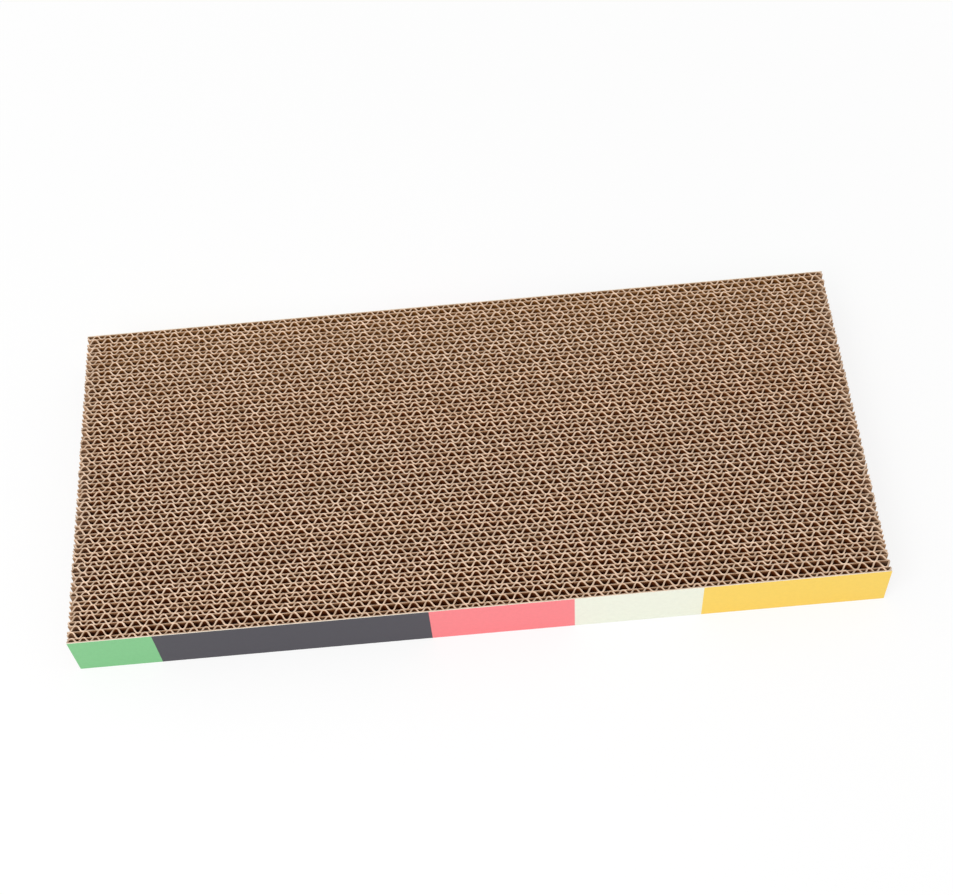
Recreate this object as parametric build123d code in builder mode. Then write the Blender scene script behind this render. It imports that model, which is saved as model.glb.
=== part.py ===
from build123d import *
import os
from math import ceil, hypot

# A cat scratcher pad: a slab sawn from a glued block of corrugated boards.
# The boards stand on edge, run along X and follow each other along Y, and the print is on the two long sides.
# The origin is at the middle of the underside, +X runs along the pad, -Y is the front and +Z is up.

# Driving dimensions, in millimetres
pad_length = 430.0
pad_height = 30.0
board_count = 34
board_thickness = 5.78
liner_thickness = 0.35
medium_thickness = 0.35
flute_pitch = 17.2
glue_film = 0.05
print_sheet_thickness = 0.8
# How far each board's wave starts behind the wave of the board before it, in flutes
phase_step_share = 0.382

# The stack of boards
board_pitch = board_thickness + glue_film
stack_depth = board_count * board_pitch - glue_film
first_board_middle = (board_thickness - stack_depth) / 2

# The plies of one board, across its thickness
liner_middle = (board_thickness - liner_thickness) / 2
medium_room = board_thickness - 2 * (liner_thickness + glue_film)

# The waved medium: its flanks slope, so it takes more of the room than its own thickness
half_pitch = flute_pitch / 2
flank_length = hypot(half_pitch, medium_room - medium_thickness)
medium_span = medium_thickness * flank_length / half_pitch
wave_height = medium_room - medium_span
crest_count = ceil(pad_length / half_pitch) + 3

# The printed sheets lie on the outer boards
print_sheet_middle = (stack_depth + print_sheet_thickness) / 2 + glue_film


def wave_outline(start):
    """The corners of a waved ply that starts at this place along the board, all the way round."""
    crests = [(start + half_pitch * i, wave_height / 2 * (-1) ** i) for i in range(crest_count)]
    front_side = [(x, y - medium_span / 2) for x, y in crests]
    back_side = [(x, y + medium_span / 2) for x, y in reversed(crests)]
    return front_side + back_side


os.makedirs("parts", exist_ok=True)

# The boards, from the front one to the back one
for number in range(1, board_count + 1):
    board_plane = Plane(origin=(0, first_board_middle + board_pitch * (number - 1), 0))
    phase = flute_pitch * (phase_step_share * number % 1)

    with BuildPart() as board:
        with BuildSketch(board_plane):
            with BuildLine():
                Polyline(*wave_outline(-pad_length / 2 - phase), close=True)
            make_face()
            # The saw cuts the wave off square at both ends, wherever it happens to be
            Rectangle(pad_length, board_thickness, mode=Mode.INTERSECT)
            with Locations((0, -liner_middle), (0, liner_middle)):
                Rectangle(pad_length, liner_thickness)
        extrude(amount=pad_height)

    board.part.label = f"board_{number:02d}"
    export_step(board.part, f"parts/board_{number:02d}.step")

# The printed sheet on the front
with BuildPart() as front_print_sheet:
    with BuildSketch(Plane(origin=(0, -print_sheet_middle, 0))):
        Rectangle(pad_length, print_sheet_thickness)
    extrude(amount=pad_height)

front_print_sheet.part.label = "front_print_sheet"
export_step(front_print_sheet.part, "parts/front_print_sheet.step")

# The printed sheet on the back
with BuildPart() as back_print_sheet:
    with BuildSketch(Plane(origin=(0, print_sheet_middle, 0))):
        Rectangle(pad_length, print_sheet_thickness)
    extrude(amount=pad_height)

back_print_sheet.part.label = "back_print_sheet"
export_step(back_print_sheet.part, "parts/back_print_sheet.step")
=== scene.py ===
import math
import random

import bpy
import numpy as np
from mathutils import Matrix, Vector


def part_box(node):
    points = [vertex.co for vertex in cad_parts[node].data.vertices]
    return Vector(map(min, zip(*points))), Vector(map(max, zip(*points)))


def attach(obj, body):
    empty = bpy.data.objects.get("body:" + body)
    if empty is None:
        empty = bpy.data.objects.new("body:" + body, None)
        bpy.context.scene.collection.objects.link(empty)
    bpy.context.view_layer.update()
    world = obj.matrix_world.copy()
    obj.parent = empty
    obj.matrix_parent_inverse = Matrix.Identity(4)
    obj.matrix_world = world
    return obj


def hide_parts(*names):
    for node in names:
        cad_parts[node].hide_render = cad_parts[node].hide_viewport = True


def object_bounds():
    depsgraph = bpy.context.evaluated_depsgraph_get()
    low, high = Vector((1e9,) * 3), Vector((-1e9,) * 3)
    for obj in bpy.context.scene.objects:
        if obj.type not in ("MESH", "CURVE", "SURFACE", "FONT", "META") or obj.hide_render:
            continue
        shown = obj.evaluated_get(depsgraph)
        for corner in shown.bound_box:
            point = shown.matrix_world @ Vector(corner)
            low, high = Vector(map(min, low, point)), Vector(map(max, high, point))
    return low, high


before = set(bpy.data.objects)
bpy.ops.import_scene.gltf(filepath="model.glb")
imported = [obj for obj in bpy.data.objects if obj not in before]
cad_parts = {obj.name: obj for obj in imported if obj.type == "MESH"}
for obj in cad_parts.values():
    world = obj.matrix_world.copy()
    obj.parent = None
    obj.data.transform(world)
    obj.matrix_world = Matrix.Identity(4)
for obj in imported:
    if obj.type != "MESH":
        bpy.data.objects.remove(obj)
cad_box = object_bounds()

# Sizes are in metres
MM = 0.001

# The double-wall corrugated board: large C flutes and small B flutes between three liners
# Fullness near 0 is a sine, and larger has steeper flanks and flatter crests
# Lean makes the rising flanks shorter than the falling ones, as a share of the pitch
# Bite is how far a crest reaches past its liner's near face, which takes it out at the liner's far side
# Flank is the ply's thickness between crests, drawn as thick as the cut looks and not as paper is
# Painted light and shade on the flanks: how much dimmer the ply is drawn on rising flanks, and brighter on
# falling ones
# Tone is how bright the whole ply is
C_FLUTE = {
    "pitch": 7.80 * MM,
    "fullness": 1.05,
    "lean": 0.04,
    "bite": 0.52 * MM,
    "flank": 0.79 * MM,
    "slant_shade": 0.065,
    "tone": 1.0,
}
B_FLUTE = {
    "pitch": 6.40 * MM,
    "fullness": 1.50,
    "lean": 0.0,
    "bite": 0.58 * MM,
    "flank": 0.79 * MM,
    "slant_shade": 0.11,
    "tone": 0.94,
}
CREST_THICKNESS = 0.64 * MM
# How much brighter a waved ply is drawn at its crests
CREST_GLOW = 0.30
# How closely that glow and the crests' thickness keep to the crests
CREST_POWER = 4
FLUTE_CORNERS = 14
C_ROW_SHARE = 0.605
# The front board is turned round
FRONT_B_ROW_SHARE = 0.362
# How far the first and last boards reach into the space of their cards, which are drawn thinner
CARD_SINK = 0.30 * MM
OUTER_LINER_THICKNESS = 0.16 * MM
FRONT_LINER_CUT = 0.28 * MM
MIDDLE_LINER_THICKNESS = 0.29 * MM
LINER_STEP = 2.6 * MM

# How the boards are laid up, front to back: runs of boards whose waves follow on by a steady step
# Each run has its number of boards, where the first wave stands at mid length, and the step, in flutes
C_RUNS = (
    (1, 0.35, 0.0),
    (5, 0.0, -0.02),
    (2, 0.06, 0.27),
    (4, 0.07, -0.27),
    (14, 0.85, 0.05),
    (3, 0.86, 0.2),
    (2, 0.82, 0.54),
    (3, 0.84, 0.14),
)
B_RUNS = (
    (1, 0.2, 0.0),
    (7, 0.74, 0.17),
    (5, 0.68, -0.11),
    (11, 0.5, 0.2),
    (6, 0.1, 0.11),
    (4, 0.4, 0.1),
)

# Unevenness of the stacked and cut boards
SEED = 41
LAY_UP_JITTER_SHARE = 0.03
CREST_JITTER_SHARE = 0.04
CREST_DIP_SHARE = 0.07
LINER_WANDER = 0.10 * MM
CUT_ROUGHNESS = 0.10 * MM
END_ROUGHNESS = 0.25 * MM
THICKNESS_JITTER_SHARE = 0.16
# Each seam between boards wanders as the sum of slow waves, with a random weight for each
BOARD_WANDER = 0.16 * MM
WANDER_WAVES = (0.8, 1.7, 3.1)
WANDER_WEIGHTS = (0.5, 1.0)
# How the boards differ in colour: how warm they are, and how bright
BOARD_WARMTH = (-0.02, 0.02)
BOARD_BRIGHTNESS = (0.96, 1.03)
# Edges sharper than this aren't smoothed over
SHARP_ANGLE = math.radians(50)

# How each sheet unrolls onto its map: margins that hold its sawn ends, and the bands of its other sides
MAP_MARGIN = 0.01
MAP_END_SPAN = (0.002, 0.007)
FRONT_BAND = (0.02, 0.44)
BACK_BAND = (0.46, 0.88)
TOP_BAND = (0.90, 0.94)
BOTTOM_BAND = (0.95, 0.99)

# The printed sheet: blocks of colour from left to right, each with its width
PRINT_BLOCKS = (
    ("green", 44.2 * MM, (0.212, 0.531, 0.242)),
    ("charcoal", 144.6 * MM, (0.066, 0.062, 0.075)),
    ("coral", 76.1 * MM, (0.915, 0.231, 0.250)),
    ("cream", 67.5 * MM, (0.827, 0.848, 0.727)),
    ("yellow", 97.6 * MM, (0.92, 0.635, 0.114)),
)
# The card that carries the print: a white coat on a kraft backing, and the shares of the map that they take
COAT_THICKNESS = 0.38 * MM
CARD_THICKNESS = 0.5 * MM
COAT_BAND = (0.0, 0.8)
BACKING_BAND = (0.8, 1.0)
PRINT_RIPPLE = 0.03 * MM
PRINT_STEP = 1.6 * MM
PRINT_CUT_ROUGHNESS = 0.07 * MM

# Colours, linear
# The walls' colour and the dark end of its grain, drawn much darker than kraft is, as painted shade deep in
# the cells
SHADED_KRAFT_FACE = (0.18, 0.039, 0.003)
SHADED_KRAFT_FACE_DARK = (0.135, 0.029, 0.002)
# Painted light: the walls are drawn paler towards the back, as they look in the photograph, mostly over the
# last boards
KRAFT_FACE_BACK = (0.26, 0.103, 0.018)
BACK_POWER = 4.0
# Painted light: each wall is drawn paler along the top and bottom cuts, where light falls into the cells: how
# pale, and how far in
WAVE_LIT_RIM = ((0.58, 0.315, 0.135), 1.5 * MM)
OUTER_LINER_LIT_RIM = ((0.56, 0.32, 0.15), 2.5 * MM)
MIDDLE_LINER_LIT_RIM = ((0.68, 0.40, 0.20), 3.6 * MM)
# Painted light at the open ends too: the walls turn to kraft's own colour there, where light reaches in, and
# keep their painted shade farther in: how pale, and how far in
KRAFT_END = (0.42, 0.265, 0.155)
END_DEPTH = 10.0 * MM
WAVE_CUT = (0.815, 0.608, 0.455)
WAVE_CUT_DARK = (0.464, 0.330, 0.230)
LINER_CUT = (0.775, 0.564, 0.41)
LINER_CUT_DARK = (0.37, 0.24, 0.152)
CARD_COAT = (0.89, 0.82, 0.70)
CARD_COAT_DARK = (0.82, 0.74, 0.62)
INK_MOTTLE = (0.98, 1.015)
FLOOR_WHITE = (0.94, 0.94, 0.94)

# How fine the paper's fibres are, how they run up and down on the faces, and how far they stand out
FACE_GRAIN = 700.0
FACE_STRETCH = (1.0, 1.0, 0.25)
NO_STRETCH = (1.0, 1.0, 1.0)
WAVE_CUT_GRAIN = 280.0
LINER_CUT_GRAIN = 420.0
CARD_COAT_GRAIN = 900.0
FIBRE_DETAIL = 4.0
FIBRE_RELIEF = 0.05 * MM
# The same for the inks, which are mottled more coarsely than their surface is rough
INK_MOTTLE_GRAIN = 420.0
INK_GRAIN = 2600.0
INK_DETAIL = 2.0
INK_RELIEF = 0.01 * MM
RELIEF_STRENGTH = 0.6
# The values of the grain that take the darkest and the lightest colour
GRAIN_RANGE = (0.3, 0.7)
PAPER_ROUGHNESS = 0.9
INK_ROUGHNESS = 0.55
FLOOR_ROUGHNESS = 0.9
SHEEN = 0.25

# The floor shows the pad's shadow near it, and turns plain white farther away
NEAR_GLOW_SHARE = 0.8
SHADOW_REACH = 0.30
WHITE_REACH = 0.80
FLOOR_REACH = 40.0
# How strongly the white sky lights the pad, and the softbox in front of it on the left
SKY_LIGHT = 0.78
KEY_PLACE = (-0.6, -0.85, 1.25)
KEY_SIZE = 0.9
KEY_POWER = 10.0

# The camera, fitted to the pad's edges and rows of boards in the photograph
CAMERA_TARGET = Vector((5.76 * MM, 8.54 * MM, 15.0 * MM))
CAMERA_DISTANCE = 0.9376
CAMERA_AZIMUTH = math.radians(0.581)
CAMERA_ELEVATION = math.radians(56.97)
CAMERA_ROLL = math.radians(-5.56)
CAMERA_LENS = 63.1
CAMERA_SENSOR = 36.0

rng = random.Random(SEED)
low, high = cad_box
pad_length = high.x - low.x
board_nodes = sorted(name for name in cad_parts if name.startswith("board_"))


# Materials

def node_adder(tree):
    """A shorthand that adds a node to a tree."""
    def add(kind, **settings):
        node = tree.nodes.new(kind)
        for key, value in settings.items():
            setattr(node, key, value)
        return node

    return add


def node_material(name, roughness):
    """A new material with its Principled shader, and a shorthand that adds a node to it."""
    material = bpy.data.materials.new(name)
    material.use_nodes = True
    tree = material.node_tree
    shader = tree.nodes["Principled BSDF"]
    shader.inputs["Roughness"].default_value = roughness
    shader.inputs["Specular IOR Level"].default_value = SHEEN
    return material, tree.links, shader, node_adder(tree)


def object_noise(links, add, scale, detail, stretch=NO_STRETCH):
    """Noise in the object's own metres, stretched along its axes, about 0.5 on average."""
    place = add("ShaderNodeTexCoord")
    mapping = add("ShaderNodeMapping")
    mapping.inputs["Scale"].default_value = stretch
    noise = add("ShaderNodeTexNoise")
    noise.inputs["Scale"].default_value = scale
    noise.inputs["Detail"].default_value = detail
    links.new(place.outputs["Object"], mapping.inputs["Vector"])
    links.new(mapping.outputs["Vector"], noise.inputs["Vector"])
    return noise.outputs["Fac"]


def ramp_between(links, add, grain, dark, light):
    """A colour between dark and light that follows the grain."""
    ramp = add("ShaderNodeValToRGB")
    for stop, position, colour in zip(ramp.color_ramp.elements, GRAIN_RANGE, (dark, light)):
        stop.position = position
        stop.color = (*colour, 1.0)
    links.new(grain, ramp.inputs["Fac"])
    return ramp.outputs["Color"]


def tinted(links, add, colour):
    """The colour times the shade that each board's mesh carries: the board's own tone, with painted light and
    shade along its waved plies.
    """
    shade = add("ShaderNodeAttribute", attribute_name="shade")
    product = add("ShaderNodeMix", data_type="RGBA", blend_type="MULTIPLY")
    product.inputs["Factor"].default_value = 1.0
    links.new(colour, product.inputs["A"])
    links.new(shade.outputs["Color"], product.inputs["B"])
    return product.outputs["Result"]


def bump(links, add, shader, height, distance):
    node = add("ShaderNodeBump")
    node.inputs["Strength"].default_value = RELIEF_STRENGTH
    node.inputs["Distance"].default_value = distance
    links.new(height, node.inputs["Height"])
    links.new(node.outputs["Normal"], shader.inputs["Normal"])


def paler_at_cuts(links, add, colour, paler, axis, start, end, depth):
    """The colour, turning paler within a depth of the two cuts across an axis, as painted light falling in
    from the cuts.
    """
    place = add("ShaderNodeTexCoord")
    parts = add("ShaderNodeSeparateXYZ")
    past_middle = add("ShaderNodeMath", operation="SUBTRACT")
    past_middle.inputs[1].default_value = (start + end) / 2
    from_middle = add("ShaderNodeMath", operation="ABSOLUTE")
    nearness = add("ShaderNodeMapRange")
    nearness.inputs["From Min"].default_value = (end - start) / 2 - depth
    nearness.inputs["From Max"].default_value = (end - start) / 2
    squared = add("ShaderNodeMath", operation="POWER")
    squared.inputs[1].default_value = 2.0
    mix = add("ShaderNodeMix", data_type="RGBA")
    mix.inputs["B"].default_value = (*paler, 1.0)
    links.new(place.outputs["Object"], parts.inputs["Vector"])
    links.new(parts.outputs[axis], past_middle.inputs[0])
    links.new(past_middle.outputs["Value"], from_middle.inputs[0])
    links.new(from_middle.outputs["Value"], nearness.inputs["Value"])
    links.new(nearness.outputs["Result"], squared.inputs[0])
    links.new(squared.outputs["Value"], mix.inputs["Factor"])
    links.new(colour, mix.inputs["A"])
    return mix.outputs["Result"]


def paler_to_back(links, add, colour, paler):
    """The colour, turning paler from the front boards to the back ones, as painted light."""
    place = add("ShaderNodeTexCoord")
    parts = add("ShaderNodeSeparateXYZ")
    share = add("ShaderNodeMapRange")
    share.inputs["From Min"].default_value = low.y
    share.inputs["From Max"].default_value = high.y
    late = add("ShaderNodeMath", operation="POWER")
    late.inputs[1].default_value = BACK_POWER
    mix = add("ShaderNodeMix", data_type="RGBA")
    mix.inputs["B"].default_value = (*paler, 1.0)
    links.new(place.outputs["Object"], parts.inputs["Vector"])
    links.new(parts.outputs["Y"], share.inputs["Value"])
    links.new(share.outputs["Result"], late.inputs[0])
    links.new(late.outputs["Value"], mix.inputs["Factor"])
    links.new(colour, mix.inputs["A"])
    return mix.outputs["Result"]


def paper_material(name, dark, light, grain, stretch=NO_STRETCH, lit_rim=None):
    """Paper with its fibres, and on the faces of a ply with painted light: pale rims along its cuts and open
    ends, and paler walls towards the back.
    """
    material, links, shader, add = node_material(name, PAPER_ROUGHNESS)
    fibres = object_noise(links, add, grain, FIBRE_DETAIL, stretch)
    colour = ramp_between(links, add, fibres, dark, light)
    if lit_rim:
        lit_rim_colour, lit_rim_depth = lit_rim
        colour = paler_to_back(links, add, colour, KRAFT_FACE_BACK)
        colour = paler_at_cuts(links, add, colour, lit_rim_colour, "Z", low.z, high.z, lit_rim_depth)
        colour = paler_at_cuts(links, add, colour, KRAFT_END, "X", low.x, high.x, END_DEPTH)
    links.new(tinted(links, add, colour), shader.inputs["Base Color"])
    bump(links, add, shader, fibres, FIBRE_RELIEF)
    return material


def face_material(name, lit_rim):
    return paper_material(name, SHADED_KRAFT_FACE_DARK, SHADED_KRAFT_FACE, FACE_GRAIN, FACE_STRETCH, lit_rim)


def ink_material(name, ink):
    material, links, shader, add = node_material(name, INK_ROUGHNESS)
    mottling = object_noise(links, add, INK_MOTTLE_GRAIN, INK_DETAIL)
    darker, lighter = (tuple(share * part for part in ink) for share in INK_MOTTLE)
    links.new(ramp_between(links, add, mottling, darker, lighter), shader.inputs["Base Color"])
    bump(links, add, shader, object_noise(links, add, INK_GRAIN, INK_DETAIL), INK_RELIEF)
    return material


board_materials = (
    face_material("wave_face", WAVE_LIT_RIM),
    paper_material("wave_cut_edge", WAVE_CUT_DARK, WAVE_CUT, WAVE_CUT_GRAIN),
    face_material("outer_liner_face", OUTER_LINER_LIT_RIM),
    face_material("middle_liner_face", MIDDLE_LINER_LIT_RIM),
    paper_material("liner_cut_edge", LINER_CUT_DARK, LINER_CUT, LINER_CUT_GRAIN),
)
# Where each kind of ply finds its materials among the board's
WAVE_SLOTS = {"face": 0, "edge": 1}
OUTER_LINER_SLOTS = {"face": 2, "edge": 4}
MIDDLE_LINER_SLOTS = {"face": 3, "edge": 4}
card_coat = paper_material("card_coat", CARD_COAT_DARK, CARD_COAT, CARD_COAT_GRAIN)
card_backing = paper_material("card_backing", LINER_CUT_DARK, LINER_CUT, LINER_CUT_GRAIN)
inks = [ink_material("ink_" + name, colour) for name, _, colour in PRINT_BLOCKS]


# Corrugated boards

def lay_up(runs):
    """Where each board's wave stands at mid length, in flutes."""
    starts = []
    for count, first, step in runs:
        starts += [first + step * i + rng.gauss(0, LAY_UP_JITTER_SHARE) for i in range(count)]
    return starts


def smooth_line(amplitude):
    """A slow random curve along the pad, as a function of x."""
    parts = [(count, rng.uniform(0, 2 * math.pi), rng.uniform(*WANDER_WEIGHTS)) for count in WANDER_WAVES]
    total = sum(weight for _, _, weight in parts)

    def curve(x):
        turns = 2 * math.pi * x / pad_length
        waves = (weight * np.sin(count * turns + phase) for count, phase, weight in parts)
        return amplitude * sum(waves) / total

    return curve


def random_line(count, spread):
    return np.array([rng.uniform(-spread, spread) for _ in range(count)])


def wave_line(flute, start, left, right):
    """A flute's line from end to end: places along the board, and from -1 to 1 across its row."""
    pitch, fullness = flute["pitch"], flute["fullness"]
    first = math.floor(left / pitch + start) - 1
    last = math.ceil(right / pitch + start) + 1
    turns = np.arange(first * FLUTE_CORNERS, last * FLUTE_CORNERS + 1) / FLUTE_CORNERS
    crests = np.arange(first, last + 0.5, 0.5)
    lean = flute["lean"] * (crests % 1 > 0)
    moved = turns + np.interp(turns, crests, lean + random_line(len(crests), CREST_JITTER_SHARE))
    reach = 1 - np.abs(np.interp(turns, crests, random_line(len(crests), CREST_DIP_SHARE)))
    across = reach * np.tanh(fullness * np.cos(2 * math.pi * turns)) / math.tanh(fullness)
    along = (moved - start) * pitch
    inside = (along > left) & (along < right)
    x = np.concatenate(([left], along[inside], [right]))
    return x, np.interp(x, along, across)


def two_sides(x, y, thickness):
    """The front and back lines of a ply whose middle follows a line."""
    way = np.stack((np.gradient(x), np.gradient(y)))
    way /= np.hypot(*way)
    half = 0.5 * thickness * (1 + random_line(len(x), THICKNESS_JITTER_SHARE))
    aside = np.stack((-way[1], way[0])) * half
    middle = np.stack((x, y))
    return middle - aside, middle + aside


def cut_levels(count, bottom, top, roughness):
    """The uneven heights of a sheet's bottom and top cuts along its line."""
    low_cut = bottom + np.abs(random_line(count, roughness))
    high_cut = top - np.abs(random_line(count, roughness))
    return low_cut, high_cut


def standing_sheet(front, back, levels, band):
    """A closed sheet on edge between two lines, unrolled onto one band of a map.

    The levels are the heights of its bottom and top. The result has its corners, its quads and their places on
    the map, and for each quad its part (front, back or edge) and its column.
    """
    steps = np.hypot(*np.diff(front, axis=1))
    share = np.concatenate(([0.0], np.cumsum(steps))) / steps.sum()
    along = MAP_MARGIN + (1 - 2 * MAP_MARGIN) * share
    edges = [(line, level) for line in (front, back) for level in levels]
    corners = np.concatenate([np.stack((*line, level), axis=1) for line, level in edges])
    front_low, front_high, back_low, back_high = np.arange(len(corners)).reshape(4, len(along))
    sheet = {"corners": corners, "quads": [], "map": [], "part": [], "column": []}

    def add(quads, u, v, part):
        sheet["quads"].append(quads)
        on_band = band[0] + (band[1] - band[0]) * v
        sheet["map"].append(np.stack((u, on_band), axis=2))
        sheet["part"] += [part] * len(quads)
        sheet["column"] += range(len(quads))

    def add_strip(a, b, a_v, b_v, part):
        quads = np.stack((a[:-1], a[1:], b[1:], b[:-1]), axis=1)
        u = np.stack((along[:-1], along[1:], along[1:], along[:-1]), axis=1)
        v = np.broadcast_to(np.array((a_v, a_v, b_v, b_v)), u.shape)
        add(quads, u, v, part)

    def add_end(a_low, b_low, b_high, a_high, u):
        v = np.array([[FRONT_BAND[0], FRONT_BAND[0], FRONT_BAND[1], FRONT_BAND[1]]])
        add(np.array([[a_low, b_low, b_high, a_high]]), u, v, "edge")

    end_u = np.array([[MAP_END_SPAN[0], MAP_END_SPAN[1], MAP_END_SPAN[1], MAP_END_SPAN[0]]])
    add_strip(front_low, front_high, *FRONT_BAND, "front")
    add_strip(back_high, back_low, *reversed(BACK_BAND), "back")
    add_end(back_low[0], front_low[0], front_high[0], back_high[0], end_u)
    add_end(front_low[-1], back_low[-1], back_high[-1], front_high[-1], 1 - end_u)
    add_strip(front_high, back_high, *TOP_BAND, "edge")
    add_strip(back_low, front_low, *BOTTOM_BAND, "edge")
    sheet["quads"] = np.concatenate(sheet["quads"])
    sheet["map"] = np.concatenate(sheet["map"])
    return sheet


def mesh_object(name, sheets, materials, slots):
    """One object of several sheets, whose quads take the material slots given for them."""
    mesh = bpy.data.meshes.new(name)
    starts = np.cumsum([0] + [len(sheet["corners"]) for sheet in sheets])
    corners = np.concatenate([sheet["corners"] for sheet in sheets])
    quads = np.concatenate([sheet["quads"] + start for sheet, start in zip(sheets, starts)])
    mesh.from_pydata(corners.tolist(), [], quads.tolist())
    for material in materials:
        mesh.materials.append(material)
    mesh.polygons.foreach_set("material_index", np.asarray(slots, dtype=np.int32))
    bake_map = mesh.uv_layers.new(name="OFBake")
    places = np.concatenate([sheet["map"] for sheet in sheets])
    bake_map.data.foreach_set("uv", places.astype(np.float32).ravel())
    mesh.shade_smooth()
    mesh.set_sharp_from_angle(angle=SHARP_ANGLE)
    piece = bpy.data.objects.new(name, mesh)
    bpy.context.scene.collection.objects.link(piece)
    return piece


def set_shade(piece, tones, colour):
    """Gives each corner of the piece its tone of one colour, for the materials to read."""
    shade = piece.data.attributes.new("shade", "FLOAT_COLOR", "POINT")
    colours = np.column_stack((np.outer(tones, colour), np.ones(len(tones))))
    shade.data.foreach_set("color", colours.astype(np.float32).ravel())


def wave_tone(flute, x, across):
    """How bright a waved ply is drawn along its line, with painted shade on its rising flanks and painted
    light on its falling ones.
    """
    # In one pitch the line goes from -1 to 1 and back
    mean_slope = 4 / flute["pitch"]
    rise = np.clip(np.gradient(across, x) / mean_slope, -1, 1)
    return flute["tone"] * (1 + CREST_GLOW * across ** CREST_POWER - flute["slant_shade"] * rise)


def build_board(number, node, c_start, b_start, front_wander, back_wander):
    """One double-wall board: three liners and two waved plies, all standing on edge."""
    (_, front, bottom), (_, back, top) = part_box(node)
    left = low.x + rng.uniform(0, END_ROUGHNESS)
    right = high.x - rng.uniform(0, END_ROUGHNESS)
    is_first = number == 0
    is_last = number == len(board_nodes) - 1
    front -= CARD_SINK if is_first else 0.0
    back += CARD_SINK if is_last else 0.0
    depth = back - front
    middle = front + (FRONT_B_ROW_SHARE if is_first else C_ROW_SHARE) * depth
    liner_x = np.append(np.arange(left, right - LINER_STEP / 2, LINER_STEP), right)

    def wandered(x, y):
        across = (y - front) / depth
        return y + (1 - across) * front_wander(x) + across * back_wander(x)

    plies = []
    front_face = front + OUTER_LINER_THICKNESS
    back_face = back - OUTER_LINER_THICKNESS
    half_middle = MIDDLE_LINER_THICKNESS / 2
    liners = (
        (front, front + FRONT_LINER_CUT, OUTER_LINER_SLOTS),
        (middle - half_middle, middle + half_middle, MIDDLE_LINER_SLOTS),
        (back_face, back, OUTER_LINER_SLOTS),
    )
    for near, far, liner_slots in liners:
        line = wandered(liner_x, (near + far) / 2 + random_line(len(liner_x), LINER_WANDER))
        plies.append((liner_x, line, far - near, np.ones_like(liner_x), liner_slots))
    rows = ((front_face, middle - half_middle), (middle + half_middle, back_face))
    waves = [(C_FLUTE, c_start), (B_FLUTE, b_start)]
    if is_first:
        waves.reverse()
    for (near, far), (flute, start) in zip(rows, waves):
        x, across = wave_line(flute, start, left, right)
        swing = (far - near - CREST_THICKNESS) / 2 + flute["bite"]
        line = wandered(x, (near + far) / 2 + swing * across)
        thickness = flute["flank"] + (CREST_THICKNESS - flute["flank"]) * across ** CREST_POWER
        plies.append((x, line, thickness, wave_tone(flute, x, across), WAVE_SLOTS))

    sheets, slots, tones = [], [], []
    for i, (x, y, thickness, tone, ply_slots) in enumerate(plies):
        levels = cut_levels(len(x), bottom, top, CUT_ROUGHNESS)
        band = (i / len(plies), (i + 1) / len(plies))
        sheet = standing_sheet(*two_sides(x, y, thickness), levels, band)
        sheets.append(sheet)
        slots += [ply_slots["edge" if part == "edge" else "face"] for part in sheet["part"]]
        tones.append(np.tile(tone, len(sheet["corners"]) // len(tone)))
    piece = mesh_object("fluted_" + node, sheets, board_materials, slots)
    warmth = rng.uniform(*BOARD_WARMTH)
    brightness = rng.uniform(*BOARD_BRIGHTNESS)
    shade = brightness * np.array((1.0, 1 - warmth, 1 - 2 * warmth))
    set_shade(piece, np.concatenate(tones), shade)
    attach(piece, "root")
    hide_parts(node)


def build_boards():
    c_starts = lay_up(C_RUNS)
    b_starts = lay_up(B_RUNS)
    flat = smooth_line(0.0)
    seams = [flat] + [smooth_line(BOARD_WANDER) for _ in board_nodes[1:]] + [flat]
    for number, node in enumerate(board_nodes):
        build_board(number, node, c_starts[number], b_starts[number], seams[number], seams[number + 1])


# Printed sheets

def print_columns():
    """Places along the sheet where its mesh has columns, and the block that each column belongs to."""
    edges = [low.x]
    for _, width, _ in PRINT_BLOCKS:
        edges.append(edges[-1] + width)
    edges[-1] = high.x
    columns, blocks = [low.x], []
    for block, (start, end) in enumerate(zip(edges, edges[1:])):
        count = math.ceil((end - start) / PRINT_STEP)
        columns += [start + (end - start) * (i + 1) / count for i in range(count)]
        blocks += [block] * count
    return np.array(columns), blocks


def build_print_sheet(node, turned):
    """A card glued to one long side: five inks on a white coat, which shows along its cuts, on kraft."""
    (_, front, bottom), (_, back, top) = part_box(node)
    columns, blocks = print_columns()
    ripple = PRINT_RIPPLE * (1 - np.cos(2 * math.pi * columns / B_FLUTE["pitch"])) / 2
    outer = np.stack((columns, front + ripple))
    middle = np.stack((columns, np.full_like(columns, front + COAT_THICKNESS)))
    inner = np.stack((columns, np.full_like(columns, front + CARD_THICKNESS)))
    levels = cut_levels(len(columns), bottom, top, PRINT_CUT_ROUGHNESS)
    coat = standing_sheet(outer, middle, levels, COAT_BAND)
    backing = standing_sheet(middle, inner, levels, BACKING_BAND)
    materials = (*inks, card_coat, card_backing)
    coat_slot = len(inks)
    slots = [blocks[i] if part == "front" else coat_slot for part, i in zip(coat["part"], coat["column"])]
    slots += [coat_slot + 1] * len(backing["part"])
    if turned:
        for sheet in (coat, backing):
            sheet["corners"][:, 0] *= -1
            sheet["corners"][:, 1] = front + back - sheet["corners"][:, 1]
    piece = mesh_object("printed_" + node, [coat, backing], materials, slots)
    set_shade(piece, np.ones(len(piece.data.vertices)), (1.0, 1.0, 1.0))
    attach(piece, "root")
    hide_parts(node)


# Floor, light and camera

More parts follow.
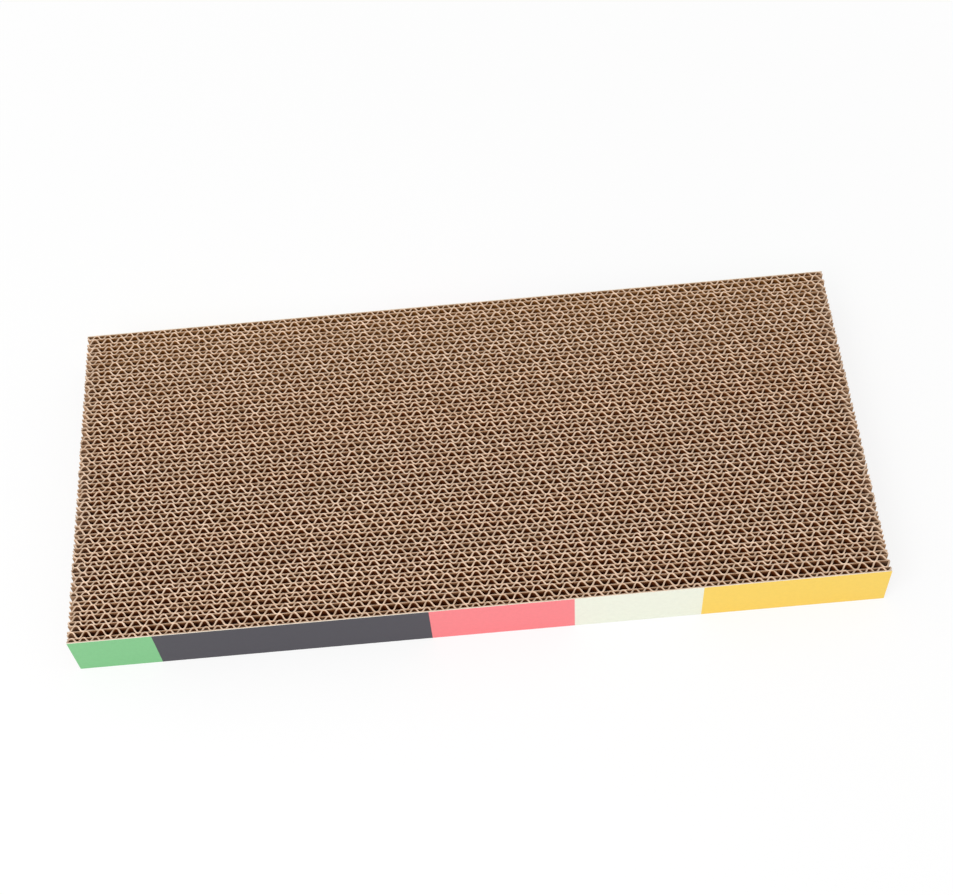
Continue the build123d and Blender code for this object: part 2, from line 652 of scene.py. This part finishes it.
def seen_share(links, add, unseen, seen):
    """One number for rays from the camera, a reflection or through glass, and another for all other rays."""
    path = add("ShaderNodeLightPath")
    reflected = add("ShaderNodeMath", operation="MAXIMUM")
    through = add("ShaderNodeMath", operation="MAXIMUM")
    share = add("ShaderNodeMapRange")
    share.inputs["To Min"].default_value = unseen
    share.inputs["To Max"].default_value = seen
    links.new(path.outputs["Is Camera Ray"], reflected.inputs[0])
    links.new(path.outputs["Is Glossy Ray"], reflected.inputs[1])
    links.new(reflected.outputs["Value"], through.inputs[0])
    links.new(path.outputs["Is Transmission Ray"], through.inputs[1])
    links.new(through.outputs["Value"], share.inputs["Value"])
    return share.outputs["Result"]


def build_floor():
    """A plain white floor that keeps the pad's shadow and looks white to the camera and in reflections."""
    mesh = bpy.data.meshes.new("floor")
    corners = [(x * FLOOR_REACH, y * FLOOR_REACH, 0.0) for x, y in ((-1, -1), (1, -1), (1, 1), (-1, 1))]
    mesh.from_pydata(corners, [], [(0, 1, 2, 3)])
    material, links, shader, add = node_material("floor_white", FLOOR_ROUGHNESS)
    shader.inputs["Base Color"].default_value = (*FLOOR_WHITE, 1.0)
    place = add("ShaderNodeTexCoord")
    distance = add("ShaderNodeVectorMath", operation="LENGTH")
    glow_share = add("ShaderNodeMapRange")
    glow_share.inputs["From Min"].default_value = SHADOW_REACH
    glow_share.inputs["From Max"].default_value = WHITE_REACH
    glow_share.inputs["To Min"].default_value = NEAR_GLOW_SHARE
    seen_glow = add("ShaderNodeMath", operation="MULTIPLY")
    glow = add("ShaderNodeEmission")
    mix = add("ShaderNodeMixShader")
    output = material.node_tree.nodes["Material Output"]
    links.new(place.outputs["Object"], distance.inputs[0])
    links.new(distance.outputs["Value"], glow_share.inputs["Value"])
    links.new(glow_share.outputs["Result"], seen_glow.inputs[0])
    links.new(seen_share(links, add, 0.0, 1.0), seen_glow.inputs[1])
    links.new(seen_glow.outputs["Value"], mix.inputs["Fac"])
    links.new(shader.outputs["BSDF"], mix.inputs[1])
    links.new(glow.outputs["Emission"], mix.inputs[2])
    links.new(mix.outputs["Shader"], output.inputs["Surface"])
    mesh.materials.append(material)
    floor = bpy.data.objects.new("floor", mesh)
    bpy.context.scene.collection.objects.link(floor)


def build_lights():
    world = bpy.data.worlds.new("studio")
    world.use_nodes = True
    tree = world.node_tree
    sky = tree.nodes["Background"]
    sky.inputs["Color"].default_value = (1.0, 1.0, 1.0, 1.0)
    tree.links.new(seen_share(tree.links, node_adder(tree), SKY_LIGHT, 1.0), sky.inputs["Strength"])
    bpy.context.scene.world = world
    softbox = bpy.data.lights.new("key_softbox", "AREA")
    softbox.shape = "SQUARE"
    softbox.size = KEY_SIZE
    softbox.energy = KEY_POWER
    key = bpy.data.objects.new("key_softbox", softbox)
    key.location = KEY_PLACE
    key.rotation_euler = (CAMERA_TARGET - Vector(KEY_PLACE)).to_track_quat("-Z", "Y").to_euler()
    bpy.context.scene.collection.objects.link(key)


def build_camera():
    back = Vector((
        math.sin(CAMERA_AZIMUTH) * math.cos(CAMERA_ELEVATION),
        -math.cos(CAMERA_AZIMUTH) * math.cos(CAMERA_ELEVATION),
        math.sin(CAMERA_ELEVATION),
    ))
    right = Vector((math.cos(CAMERA_AZIMUTH), math.sin(CAMERA_AZIMUTH), 0.0))
    up = back.cross(right)
    rolled_right = math.cos(CAMERA_ROLL) * right + math.sin(CAMERA_ROLL) * up
    rolled_up = math.cos(CAMERA_ROLL) * up - math.sin(CAMERA_ROLL) * right
    lens = bpy.data.cameras.new("camera")
    lens.lens = CAMERA_LENS
    lens.sensor_width = CAMERA_SENSOR
    lens.sensor_fit = "HORIZONTAL"
    camera = bpy.data.objects.new("camera", lens)
    turn = Matrix((rolled_right, rolled_up, back)).transposed().to_4x4()
    camera.matrix_world = Matrix.Translation(CAMERA_TARGET + CAMERA_DISTANCE * back) @ turn
    bpy.context.scene.collection.objects.link(camera)
    bpy.context.scene.camera = camera


build_boards()
build_print_sheet("front_print_sheet", False)
build_print_sheet("back_print_sheet", True)
build_floor()
build_lights()
build_camera()
bpy.context.scene.view_settings.view_transform = "Standard"

bpy.context.view_layer.update()
